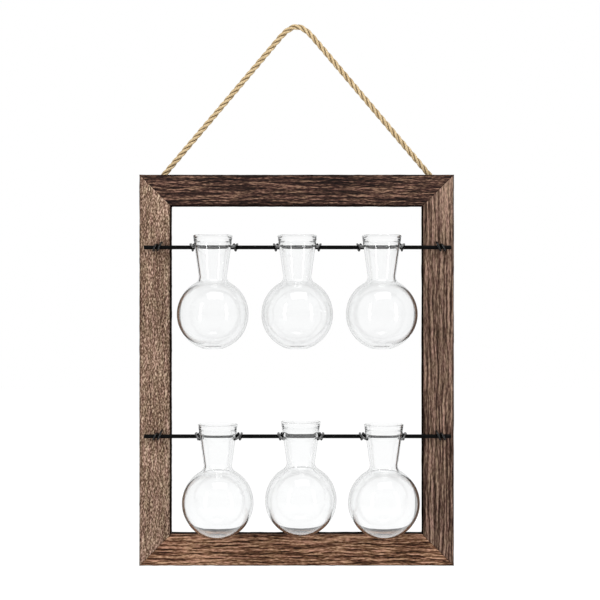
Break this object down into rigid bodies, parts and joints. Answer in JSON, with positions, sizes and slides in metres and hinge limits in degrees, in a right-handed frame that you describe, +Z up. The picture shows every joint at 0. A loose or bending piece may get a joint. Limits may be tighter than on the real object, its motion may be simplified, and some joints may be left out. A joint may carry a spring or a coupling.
{
  "type": "wall-hung propagation vase",
  "caption": "Wall-hung propagation vase: clear bulb vases with flared necks, clipped in rows to black rods across a mitred wooden frame that hangs from a jute rope.",
  "frame": {"origin": "the point of the wall hook, at the inside of the rope's top bend, in the rope's own plane", "axes": "+Z up, -Y out of the wall towards the viewer, +X to the viewer's right"},
  "size_m": [0.28, 0.0766, 0.485],
  "materials": {
    "stained_wood": "rough-sawn, brown stained and rubbed back",
    "black_steel": "black lacquered wire, satin",
    "bare_steel": "plain, zinc plated",
    "clear_glass": "clear blown glass, fire polished",
    "jute": "three-strand jute, matt"
  },
  "bodies": {
    "frame": {"top_rail": "stained_wood", "bottom_rail": "stained_wood", "left_rail": "stained_wood", "right_rail": "stained_wood", "corner_nails": "bare_steel", "upper_rod": "black_steel", "lower_rod": "black_steel", "upper_left_tie": "black_steel", "upper_right_tie": "black_steel", "lower_left_tie": "black_steel", "lower_right_tie": "black_steel", "rope_staples": "bare_steel", "hanger_rope": "jute", "left_rope_knot": "jute", "right_rope_knot": "jute"},
    "upper_left_clip": {"upper_left_neck_clip": "black_steel"},
    "upper_left_bulb": {"upper_left_vase": "clear_glass"},
    "upper_middle_clip": {"upper_middle_neck_clip": "black_steel"},
    "upper_middle_bulb": {"upper_middle_vase": "clear_glass"},
    "upper_right_clip": {"upper_right_neck_clip": "black_steel"},
    "upper_right_bulb": {"upper_right_vase": "clear_glass"},
    "lower_left_clip": {"lower_left_neck_clip": "black_steel"},
    "lower_left_bulb": {"lower_left_vase": "clear_glass"},
    "lower_middle_clip": {"lower_middle_neck_clip": "black_steel"},
    "lower_middle_bulb": {"lower_middle_vase": "clear_glass"},
    "lower_right_clip": {"lower_right_neck_clip": "black_steel"},
    "lower_right_bulb": {"lower_right_vase": "clear_glass"}
  },
  "joints": [
    {"name": "upper_left_swing", "type": "hinge", "parent": "frame", "child": "upper_left_clip", "pos_m": [-0.073, -0.0213, -0.1975], "axis": [-1, 0, 0], "range_deg": [-4, 20]},
    {"name": "upper_left_spin", "type": "hinge", "parent": "upper_left_clip", "child": "upper_left_bulb", "pos_m": [-0.073, -0.0395, -0.1975], "axis": [0, 0, 1], "continuous": true},
    {"name": "upper_middle_swing", "type": "hinge", "parent": "frame", "child": "upper_middle_clip", "pos_m": [0.0006, -0.0213, -0.1975], "axis": [-1, 0, 0], "range_deg": [-4, 20]},
    {"name": "upper_middle_spin", "type": "hinge", "parent": "upper_middle_clip", "child": "upper_middle_bulb", "pos_m": [0.0006, -0.0395, -0.1975], "axis": [0, 0, 1], "continuous": true},
    {"name": "upper_right_swing", "type": "hinge", "parent": "frame", "child": "upper_right_clip", "pos_m": [0.07421, -0.0213, -0.1975], "axis": [-1, 0, 0], "range_deg": [-4, 20]},
    {"name": "upper_right_spin", "type": "hinge", "parent": "upper_right_clip", "child": "upper_right_bulb", "pos_m": [0.07421, -0.0395, -0.1975], "axis": [0, 0, 1], "continuous": true},
    {"name": "lower_left_swing", "type": "hinge", "parent": "frame", "child": "lower_left_clip", "pos_m": [-0.0687, -0.0213, -0.3648], "axis": [-1, 0, 0], "range_deg": [-4, 20]},
    {"name": "lower_left_spin", "type": "hinge", "parent": "lower_left_clip", "child": "lower_left_bulb", "pos_m": [-0.0687, -0.03913, -0.3648], "axis": [0, 0, 1], "continuous": true},
    {"name": "lower_middle_swing", "type": "hinge", "parent": "frame", "child": "lower_middle_clip", "pos_m": [0.0037, -0.0213, -0.3648], "axis": [-1, 0, 0], "range_deg": [-4, 20]},
    {"name": "lower_middle_spin", "type": "hinge", "parent": "lower_middle_clip", "child": "lower_middle_bulb", "pos_m": [0.0037, -0.03879, -0.3648], "axis": [0, 0, 1], "continuous": true},
    {"name": "lower_right_swing", "type": "hinge", "parent": "frame", "child": "lower_right_clip", "pos_m": [0.07609, -0.0213, -0.3648], "axis": [-1, 0, 0], "range_deg": [-4, 20]},
    {"name": "lower_right_spin", "type": "hinge", "parent": "lower_right_clip", "child": "lower_right_bulb", "pos_m": [0.07609, -0.03913, -0.3648], "axis": [0, 0, 1], "continuous": true}
  ]
}
